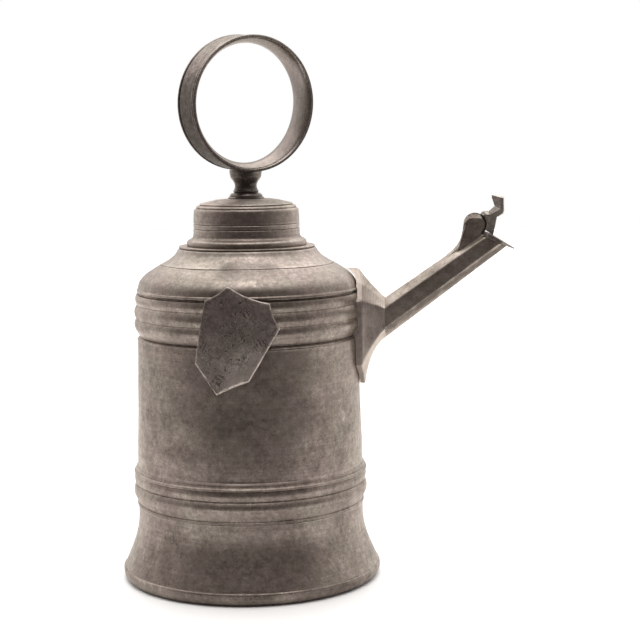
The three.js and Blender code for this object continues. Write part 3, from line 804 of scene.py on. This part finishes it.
def make_flap():
    """The plate over the mouth, and the thumb-piece with its knuckle between the ears."""
    blade = copied("flap_plate", "flap_blade")
    soften(blade, 0.35)
    worn(blade, 0.15, 0.12)

    frame_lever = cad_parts["thumb_lever"]
    side = max(corner.co.y for corner in frame_lever.data.vertices) / MM
    side_face = [
        from_pin(corner.co) for corner in frame_lever.data.vertices
        if abs(corner.co.y / MM - side) < 0.01
    ]
    low = min(side_face, key=lambda p: p[1])
    outline = list(LEVER)
    outline[ON_THE_BLADE] = (low, low)

    def layer(which, y):
        return [PIN + Vector((pair[which][0], y, pair[which][1])) * MM for pair in outline]

    lever = lofted("thumb_piece", [
        layer(1, -side), layer(0, -2.0), layer(0, 2.0), layer(1, side),
    ])
    around = [(7.9 * math.cos(math.radians(a)), 7.9 * math.sin(math.radians(a)))
              for a in (58, 40, 20, 0, -20, -38)]
    around += [(5.7, -6.2), (4.7, -7.0), (3.2, -6.5)]
    web = [(0.5, 5.0), (4.0, 3.2), (5.0, 0.0), (3.6, -3.6), (2.3, -5.7)]
    arm_outline = around + web[::-1]
    points = [(PIN.x + x * MM, PIN.z + z * MM) for x, z in arm_outline]
    arm = slab("arm", points, 3.6 * MM)
    cut(lever, [arm, round_pin("knuckle", 1.8, 5.2, 48)], "UNION")
    cut(lever, [round_pin("hole", 9, 1.8, 32)])
    soften(lever, 0.3, 20)
    worn(lever, 0.15, 0.14)
    return [(blade, "flap_blade"), (lever, "thumb_lever")]


def make_shield():
    """The bent plate, its edges broken and two of its corners pulled back."""
    shield = copied("shield_plate", "shield")
    take(shield)
    edit()
    bpy.ops.mesh.select_mode(type="EDGE")
    bpy.ops.mesh.select_all(action="DESELECT")
    bpy.ops.mesh.edges_select_sharp(sharpness=math.radians(70))
    bpy.ops.mesh.bevel(offset=0.55 * MM, segments=1, affect="EDGES")
    done()
    cut_up(shield, 2.2)
    low = min(corner.co.z for corner in shield.data.vertices)
    far = max(corner.co.x for corner in shield.data.vertices)
    for way, size, wanted in (
        (1.3, 34, lambda p: p.z < low + 3 * MM),
        (2.2, 22, lambda p: p.x > far - 13 * MM and p.z < 0.145 and p.x + p.z > 0.098),
    ):
        edit()
        pick(shield, "VERT", wanted)
        bpy.ops.transform.translate(
            value=(0, way * MM, 0), use_proportional_edit=True,
            proportional_edit_falloff="SMOOTH", proportional_size=size * MM,
        )
        done()
    worn(shield, 0.5, 0.1)
    return [(shield, "shield")]


# Finishes

class Value:
    """A number that changes from spot to spot, for sums written in plain Python."""

    def __init__(self, nodes, socket):
        self.nodes = nodes
        self.socket = socket

    def sum(self, operation, first, second):
        return self.nodes.node("ShaderNodeMath", {"operation": operation}, {0: first, 1: second})

    def __add__(self, other):
        return self.sum("ADD", self, other)

    __radd__ = __add__

    def __sub__(self, other):
        return self.sum("SUBTRACT", self, other)

    def __rsub__(self, other):
        return self.sum("SUBTRACT", other, self)

    def __mul__(self, other):
        return self.sum("MULTIPLY", self, other)

    __rmul__ = __mul__


class Nodes:
    """The nodes of one finish or of the surroundings."""

    def __init__(self, tree):
        self.tree = tree
        tree.nodes.clear()

    def node(self, kind, settings=None, sockets=None, output=0):
        """Adds a node: its settings first, then what its sockets hold or are linked to."""
        made = self.tree.nodes.new(kind)
        for key, value in (settings or {}).items():
            if key == "stops":
                ramp = made.color_ramp
                while len(ramp.elements) < len(value):
                    ramp.elements.new(1.0)
                for element, (place, colour) in zip(ramp.elements, value):
                    element.position = place
                    element.color = (*colour, 1.0)
            elif key == "easing":
                made.color_ramp.interpolation = value
            else:
                setattr(made, key, value)
        for key, value in (sockets or {}).items():
            if isinstance(value, Value):
                self.tree.links.new(value.socket, made.inputs[key])
            else:
                made.inputs[key].default_value = value
        return Value(self, made.outputs[output]) if made.outputs else None

    def mix(self, share, first, second):
        """A colour between two others."""
        first, second = (c if isinstance(c, Value) else (*c, 1.0) for c in (first, second))
        return self.node("ShaderNodeMix", {"data_type": "RGBA"}, {0: share, 6: first, 7: second}, 2)

    def step(self, value, low, high, to_low=0.0, to_high=1.0):
        """Rises smoothly as a value goes from low to high."""
        return self.node(
            "ShaderNodeMapRange", {"interpolation_type": "SMOOTHSTEP"},
            {0: value, 1: low, 2: high, 3: to_low, 4: to_high},
        )

    def noise(self, place, scale, detail=3.0, rough=0.5, bent=0.0):
        return self.node(
            "ShaderNodeTexNoise", None,
            {"Vector": place, "Scale": scale, "Detail": detail, "Roughness": rough,
             "Distortion": bent},
        )

    def turned(self, place, turn, size, shift=(0.0, 0.0, 0.0)):
        """A pattern turned and then drawn out to a size in metres along each of its own axes."""
        return self.node(
            "ShaderNodeMapping", {"vector_type": "TEXTURE"},
            {"Vector": place, "Location": shift, "Rotation": turn, "Scale": size},
        )


def pewter(name, dark, middle, clean, tone=0.0, blotches=1.0, rough=0.38, marks=1.0, shift=0.0,
           turning=1.0, lathe_turn=(0, 0, 0), rubbed=0.3, edge=1.0, engraved=False,
           hoop=False, extra=None):
    """Old pewter: a mottled brown-grey skin, paler where it stands out (part wear, part painted
    highlight), darker in corners (part grime, part painted shade), with pits, fine scratches and
    the lathe's marks. A hoop is smoother inside than outside, and extra is a painted lightening or
    darkening of one piece's own."""
    finish = bpy.data.materials.new(name)
    finish.use_nodes = True
    n = Nodes(finish.node_tree)
    there = n.node("ShaderNodeTexCoord", None, None, 3)
    place = n.turned(there, (0, 0, 0), (1, 1, 1), (shift, shift * 0.7, shift * 0.3))

    cloud = n.noise(place, 14.0, 4.0, 0.55, 0.4)
    spots = n.noise(place, 85.0, 5.0, 0.68, 0.2)
    speckle = n.noise(place, 330.0, 4.0, 0.75)
    grain = n.noise(place, 1700.0, 2.0, 0.6)
    bloom = n.noise(n.turned(place, (0.7, 0.4, 0.2), (1, 1, 1)), 260.0, 5.0, 0.85)

    lathe = n.noise(n.turned(place, lathe_turn, (0.16, 0.16, 0.0011)), 1.0, 3.0, 0.6)

    scratches = 0.0
    for turn, seed in (((0.3, 0.9, 0.2), 0.1), ((-0.8, -0.5, 1.1), 0.7), ((1.3, 0.2, -0.6), 1.9)):
        streak = n.noise(n.turned(place, turn, (0.03, 0.0007, 0.0007), (seed, seed, seed)), 1.0,
                         1.0, 0.4)
        patch = n.step(n.noise(place, 45.0 + 20 * seed, 2.0), 0.5, 0.62)
        scratches = n.step(streak, 0.66, 0.74) * patch + scratches

    pit_field = n.node(
        "ShaderNodeTexVoronoi", {"feature": "F1"}, {"Vector": place, "Scale": 520.0}
    )
    pits = n.step(pit_field, 0.30, 0.12) * n.step(spots, 0.48, 0.62)

    rub = n.node("ShaderNodeAttribute", {"attribute_name": "rub"}, None, 2)
    nook = n.node("ShaderNodeAttribute", {"attribute_name": "nook"}, None, 2)

    # Edges that stand out are made paler, part wear and part painted highlight; hollows and corners
    # are made darker, part grime and part painted shade.
    level = (
        (cloud - 0.5) * (0.8 * blotches)
        + (spots - 0.5) * (0.9 * blotches)
        + (speckle - 0.5) * 1.0
        + (grain - 0.5) * 0.7
        + (lathe - 0.5) * (0.3 * turning)
        + (0.5 + tone)
        + rub * rubbed
        - nook * 0.6
        + scratches * (0.22 * marks)
        - pits * 0.3
    )
    height = (
        (speckle - 0.5) * 0.005
        + (spots - 0.5) * 0.010
        + (lathe - 0.5) * (0.007 * turning)
        - pits * 0.005
        - scratches * (0.004 * marks)
    )
    # The ring's tone: paler inside, with painted light on top of its outside and painted shade low
    # on its outside.
    if hoop:
        outside, tone_and_shading = hoop_tone_and_shading(n, there)
        level = (level - 0.5) * (outside * 0.6 + 0.4) + 0.5 + tone_and_shading
        rough = outside * 0.14 + (rough - 0.14)
        bloom = (bloom - 0.5) * (outside * 0.6 + 0.4) + 0.5
    if extra:
        level = level + extra(n, there)
    if engraved:
        cuts, painted_lit_lower = engraving(n, there)
        # Engraved cuts are darker; the plate's lower part is given painted light.
        level = level - cuts * 0.75 + painted_lit_lower * 0.3
        height = height - cuts * 0.09
    skin = n.node(
        "ShaderNodeValToRGB",
        {"stops": [(0.0, dark), (0.5, middle), (1.0, clean)]},
        {0: level},
    )
    warmth = n.noise(place, 31.0, 3.0, 0.6)
    tinted = n.node(
        "ShaderNodeMix", {"data_type": "RGBA", "blend_type": "MULTIPLY"},
        {0: 1.0, 6: skin,
         7: n.mix(n.step(warmth, 0.35, 0.65), (1.02, 0.985, 0.995), (0.985, 1.0, 0.965))},
        2,
    )
    dull = n.step(level, 0.8, 0.1)
    bump = n.node(
        "ShaderNodeBump", None, {"Strength": 1.0, "Distance": MM, "Height": height}
    )
    shader = n.node(
        "ShaderNodeBsdfPrincipled", None,
        {
            "Base Color": tinted,
            "Metallic": 0.88 - dull * 0.1 - (bloom - 0.5) * 1.1,
            "Roughness": dull * 0.12 + (bloom - 0.5) * 0.4 + rough,
            "Normal": bump,
            "Specular Tint": (edge, edge * 0.95, edge * 0.9, 1.0),
        },
    )
    n.node("ShaderNodeOutputMaterial", None, {"Surface": shader})
    return finish


def hoop_tone_and_shading(n, place):
    """Where the carrying ring's outer side is, and its tone: paler inside, with painted light on
    top of the outside and painted shade low on the outside."""
    spoke = n.node("ShaderNodeVectorMath", {"operation": "SUBTRACT"},
                   {0: place, 1: tuple(RING_CENTRE)})
    turned = n.node("ShaderNodeVectorMath", {"operation": "CROSS_PRODUCT"},
                    {0: spoke, 1: tuple(RING_AXIS)})
    radius = n.node("ShaderNodeVectorMath", {"operation": "LENGTH"}, {0: turned}, 1)
    height = n.node("ShaderNodeSeparateXYZ", None, {0: place}, 2)
    outside = n.step(radius, 0.0419, 0.0424)
    # Painted light on the top of the outside, and painted shade low on the outside.
    painted_lit_top = outside * n.step(height, 0.312, 0.350)
    painted_shade_low = outside * n.step(height, 0.330, 0.272)
    return outside, 0.18 - outside * 0.34 + painted_lit_top * 0.4 - painted_shade_low * 0.22


def cone_painted_light(n, place):
    """The cone above the incised line is painted paler than the dome: a painted highlight for the
    light the cone catches, while the rest of the shoulder is made a little darker.
    """
    height = n.node("ShaderNodeSeparateXYZ", None, {0: place}, 2)
    return n.step(height, 0.2035, 0.2055) * 0.14 - 0.04


def spout_underside_shade(n, place):
    """Painted shade along the spout's lower corner and under it; the rest of the piece is made a
    little paler.
    """
    off = n.node("ShaderNodeVectorMath", {"operation": "SUBTRACT"},
                 {0: place, 1: tuple(SPOUT_START)})
    across = n.node("ShaderNodeVectorMath", {"operation": "DOT_PRODUCT"},
                    {0: off, 1: tuple(ACROSS)}, 1)
    painted_shade = n.step(across, -0.0042, -0.006) * n.step(across, -0.0105, -0.0065)
    return painted_shade * -0.65 + 0.1


def engraving(n, place):
    """Worn plain ornament: curls above, in the middle and below, slanted strokes at both sides."""

    def patch(x, z, size):
        away = n.node(
            "ShaderNodeVectorMath", {"operation": "DISTANCE"}, {0: place, 1: (x, -0.0745, z)}, 1
        )
        return n.step(away, size, size * 0.7)

    def curls(scale, level):
        off = n.noise(place, scale, 1.0, 0.4, 0.6) - level
        return n.step(off * off, 0.0006, 0.00015)

    fields = 0.0
    for x, z, size in (
        (-0.0491, 0.1852, 0.0055), (-0.0370, 0.1832, 0.0065), (-0.0466, 0.1659, 0.0110),
        (-0.0414, 0.1563, 0.0100), (-0.0498, 0.1403, 0.0095), (-0.0639, 0.1717, 0.0050),
    ):
        fields = patch(x, z, size) + fields
    lines = curls(230.0, 0.5) + curls(300.0, 0.56)
    slants = 0.0
    for x, z, size, slant in ((-0.0652, 0.1602, 0.0042, 0.5), (-0.0613, 0.1595, 0.0040, 0.5),
                              (-0.0325, 0.1589, 0.0050, -0.6), (-0.0273, 0.1614, 0.0045, -0.6)):
        wave = n.node(
            "ShaderNodeTexWave", {"wave_type": "BANDS", "bands_direction": "X"},
            {"Vector": n.turned(place, (0, slant, 0), (1, 1, 1)), "Scale": 150.0,
             "Distortion": 2.5, "Detail": 1.0, "Detail Scale": 3.0},
        )
        slants = n.step(wave, 0.66, 0.86) * patch(x, z, size) + slants
    rubbed = n.step(n.noise(place, 190.0, 2.0), 0.42, 0.52)
    strokes = n.noise(n.turned(place, (0, 0.7, 0), (0.006, 0.01, 0.0006)), 1.0, 1.0, 0.5)
    more = n.turned(place, (0, -0.9, 0), (0.005, 0.01, 0.0006), (0.4, 0, 0))
    more = n.noise(more, 1.0, 1.0, 0.5)
    strokes = n.step(strokes, 0.60, 0.68) + n.step(more, 0.62, 0.70)
    strokes = strokes * n.step(n.noise(place, 70.0, 2.0), 0.46, 0.56)
    cuts = (lines * fields + slants) * rubbed * 0.9 + strokes * 0.7
    height = n.node("ShaderNodeSeparateXYZ", None, {0: place}, 2)
    # The second value is painted light: a pale patch low on the plate's right and its whole lower
    # part made paler, where the plate catches light.
    return cuts, patch(-0.0300, 0.1440, 0.0210) * 0.7 + n.step(height, 0.158, 0.138) * 0.45


def finish_all():
    """The plain finish, and the others by the node of the frame that they are for."""
    brown = (0.08, 0.064, 0.053), (0.235, 0.198, 0.174), (0.43, 0.385, 0.34)
    pale = (0.10, 0.08, 0.07), (0.25, 0.213, 0.19), (0.45, 0.40, 0.36)
    plain = pewter("body_pewter", *brown, tone=-0.06, rough=0.32)
    lid = pewter("lid_pewter", *pale, blotches=0.5, shift=0.31, rough=0.33)
    spout = pewter("spout_pewter", *brown, blotches=1.5, rough=0.36, shift=0.05, turning=0.0,
                   extra=spout_underside_shade)
    return plain, {
        # The foot's colour is made darker: painted shade, for the dim light that its rim mirrors.
        "foot_ring": pewter(
            "foot_pewter", (0.07, 0.056, 0.047), (0.215, 0.181, 0.159), (0.46, 0.41, 0.37),
            tone=-0.14, rough=0.32, shift=0.71, rubbed=0.7,
        ),
        "shoulder": pewter(
            "shoulder_pewter", *pale, blotches=0.5, shift=0.31, rough=0.33, extra=cone_painted_light,
        ),
        "neck_collar": lid,
        "lid_wall": lid,
        "lid_cap": pewter(
            "cap_pewter", (0.10, 0.08, 0.07), (0.27, 0.232, 0.207), (0.45, 0.40, 0.36),
            tone=0.08, blotches=1.3, shift=0.37, rough=0.55, rubbed=0.5,
        ),
        "ring_handle": pewter(
            "ring_pewter", (0.03, 0.024, 0.02), (0.12, 0.101, 0.092), (0.36, 0.32, 0.295),
            blotches=0.6, shift=0.43, rough=0.38, rubbed=0.8, edge=0.7, hoop=True,
            lathe_turn=(math.pi / 2, 0, RING_TURN),
        ),
        "knop": pewter(
            "knop_pewter", (0.03, 0.024, 0.02), (0.10, 0.084, 0.076), (0.26, 0.23, 0.21),
            blotches=0.8, shift=0.43, rough=0.3,
        ),
        "spout_boot": pewter(
            "spout_foot_pewter", (0.11, 0.09, 0.077), (0.28, 0.24, 0.212), (0.45, 0.40, 0.355),
            tone=0.25, blotches=1.5, rough=0.42, shift=0.15, turning=0.0, rubbed=0.8,
        ),
        "spout_tube": spout,
        "hinge_bracket": spout,
        "hinge_pin": spout,
        "flap_blade": pewter(
            "flap_pewter", (0.06, 0.05, 0.045), (0.19, 0.166, 0.152), (0.42, 0.385, 0.35),
            blotches=0.8, shift=0.23, turning=0.0,
        ),
        "thumb_lever": pewter(
            "hinge_pewter", (0.06, 0.05, 0.045), (0.20, 0.175, 0.16), (0.42, 0.385, 0.35),
            tone=0.34, blotches=0.8, rough=0.45, shift=0.83, turning=0.0,
        ),
        "shield": pewter(
            "shield_pewter", (0.07, 0.058, 0.052), (0.22, 0.188, 0.172), (0.46, 0.41, 0.37),
            marks=2.4, shift=0.57, turning=0.0, engraved=True,
        ),
    }


def put(piece, node, body, finish, degrees):
    """Shades a finished piece, gives it its finish, and lets it stand for its node of the frame."""
    smooth(piece, degrees)
    mark_edges(piece)
    piece.data.materials.clear()
    piece.data.materials.append(finish)
    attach(piece, body)
    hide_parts(node)


def make_jug():
    plain, others = finish_all()
    for make, body, degrees in (
        (make_foot, "jug", 32), (make_wall, "jug", 32), (make_neck, "jug", 32),
        (make_boot, "jug", 24), (make_spout, "jug", 24), (make_hinge, "jug", 24),
        (make_shield, "jug", 30), (make_flap, "flap", 24),
        (make_lid, "lid", 32), (make_handle, "lid", 32),
    ):
        for piece, node in make():
            put(piece, node, body, others.get(node, plain), degrees)


# The table, the light and the camera

# How far the eye is turned to the spout's side, how far it is from the axis, and how high
VIEW_DEGREES = 7.0
VIEW_TURN = math.radians(VIEW_DEGREES)
EYE_AWAY = 1.04175
EYE_UP = 0.28883
EYE = AXIS + Vector((EYE_AWAY * math.sin(VIEW_TURN), -EYE_AWAY * math.cos(VIEW_TURN), EYE_UP))
TOWARDS_EYE = Vector((math.sin(VIEW_TURN), -math.cos(VIEW_TURN), 0))
RIGHT_OF_EYE = Vector((math.cos(VIEW_TURN), math.sin(VIEW_TURN), 0))


def make_table():
    """A pale table. It ends 0.33 m in front of the middle, so that the jug's front mirrors the
    dark room, and it is paler to the right than to the left: its left part is painted shade,
    which the jug's left side mirrors."""
    clear()
    bpy.ops.mesh.primitive_plane_add(size=1, location=(0, 1.67, -0.0004))
    table = name_it("table")
    table.scale = (5.0, 4.0, 1)
    settle(table)
    white = bpy.data.materials.new("table_paint")
    white.use_nodes = True
    n = Nodes(white.node_tree)
    place = n.node("ShaderNodeTexCoord", None, None, 3)
    across = n.node("ShaderNodeSeparateXYZ", None, {0: place}, 0)
    # Painted shade: the table is made darker far to the left.
    left = n.mix(n.step(across, -0.9, -0.35), (0.66, 0.66, 0.66), (0.94, 0.94, 0.94))
    colour = n.mix(n.step(across, 0.30, 0.80), left, (0.97, 0.97, 0.97))
    colour = n.mix(n.noise(place, 3.0, 2.0) * 0.02, colour, (0.7, 0.7, 0.7))
    shader = n.node("ShaderNodeBsdfPrincipled", None, {"Base Color": colour, "Roughness": 0.8})
    n.node("ShaderNodeOutputMaterial", None, {"Surface": shader})
    table.data.materials.append(white)


def light_room():
    """A dark room behind the camera, soft white screens at the sides, above and behind the jug."""
    world = bpy.data.worlds.new("studio")
    world.use_nodes = True
    bpy.context.scene.world = world
    n = Nodes(world.node_tree)
    place = n.node("ShaderNodeTexCoord", None, None, 0)

    def along(direction):
        return n.node(
            "ShaderNodeVectorMath", {"operation": "DOT_PRODUCT"},
            {0: place, 1: tuple(direction)}, 1,
        )

    front = along(TOWARDS_EYE)
    right = along(RIGHT_OF_EYE)
    up = along(UP)
    round_it = n.node(
        "ShaderNodeValToRGB",
        {"easing": "EASE", "stops": [
            (0.0, (0.40, 0.40, 0.40)), (0.06, (0.40, 0.40, 0.40)), (0.20, (0.38, 0.375, 0.37)),
            (0.40, (0.27, 0.262, 0.256)), (0.60, (0.158, 0.147, 0.143)),
            (0.80, (0.053, 0.0455, 0.0445)), (0.92, (0.033, 0.0272, 0.0267)),
            (1.0, (0.028, 0.0232, 0.0227)),
        ]},
        {0: front * 0.5 + 0.5},
    )
    low_right = n.step(right, 0.2, 0.8) * n.step(up, 0.3, 0.0)
    lean = 1 + right * 0.10 - low_right * 0.22
    screens = n.node(
        "ShaderNodeVectorMath", {"operation": "SCALE"}, {0: round_it, "Scale": lean}, 0
    )
    sideways = n.step(right * right, 0.0, 0.16)
    overhead = n.step(up - front * 0.35, 0.44, 0.90) * (1 - sideways * 0.65)
    room = n.mix(overhead, screens, (0.88, 0.87, 0.855))
    behind = n.step(front, -0.80, -0.93)
    camera, glossy, through = (
        n.node("ShaderNodeLightPath", None, None, ray)
        for ray in ("Is Camera Ray", "Is Glossy Ray", "Is Transmission Ray")
    )
    shown = n.node(
        "ShaderNodeMath", {"operation": "MAXIMUM"}, {0: camera, 1: (glossy + through) * behind}
    )
    light = n.node("ShaderNodeBackground", None, {"Color": room, "Strength": 3.98})
    backdrop = n.node("ShaderNodeBackground", None, {"Color": (1, 1, 1, 1), "Strength": 1.0})
    both = n.node("ShaderNodeMixShader", None, {0: shown, 1: light, 2: backdrop})
    n.node("ShaderNodeOutputWorld", None, {"Surface": both})


def place_camera():
    """The photograph's view: the eye looks a little past the axis and down, a trifle off level."""
    clear()
    bpy.ops.object.camera_add(location=EYE)
    camera = name_it("camera")
    heading = math.radians(2.571 - VIEW_DEGREES)
    dip = math.radians(6.700)
    roll = math.radians(-0.703)
    forward = Vector((
        math.sin(heading) * math.cos(dip), math.cos(heading) * math.cos(dip), -math.sin(dip)
    ))
    right = Vector((math.cos(heading), -math.sin(heading), 0))
    up = right.cross(forward)
    across = right * math.cos(roll) + up * math.sin(roll)
    upright = up * math.cos(roll) - right * math.sin(roll)
    turn = Matrix((across, upright, -forward)).transposed().to_4x4()
    camera.matrix_world = Matrix.Translation(EYE) @ turn
    camera.data.sensor_width = 36.0
    camera.data.lens = 90.51
    bpy.context.scene.camera = camera


make_jug()
make_table()
light_room()
place_camera()
bpy.context.scene.view_settings.view_transform = "Standard"

bpy.context.view_layer.update()
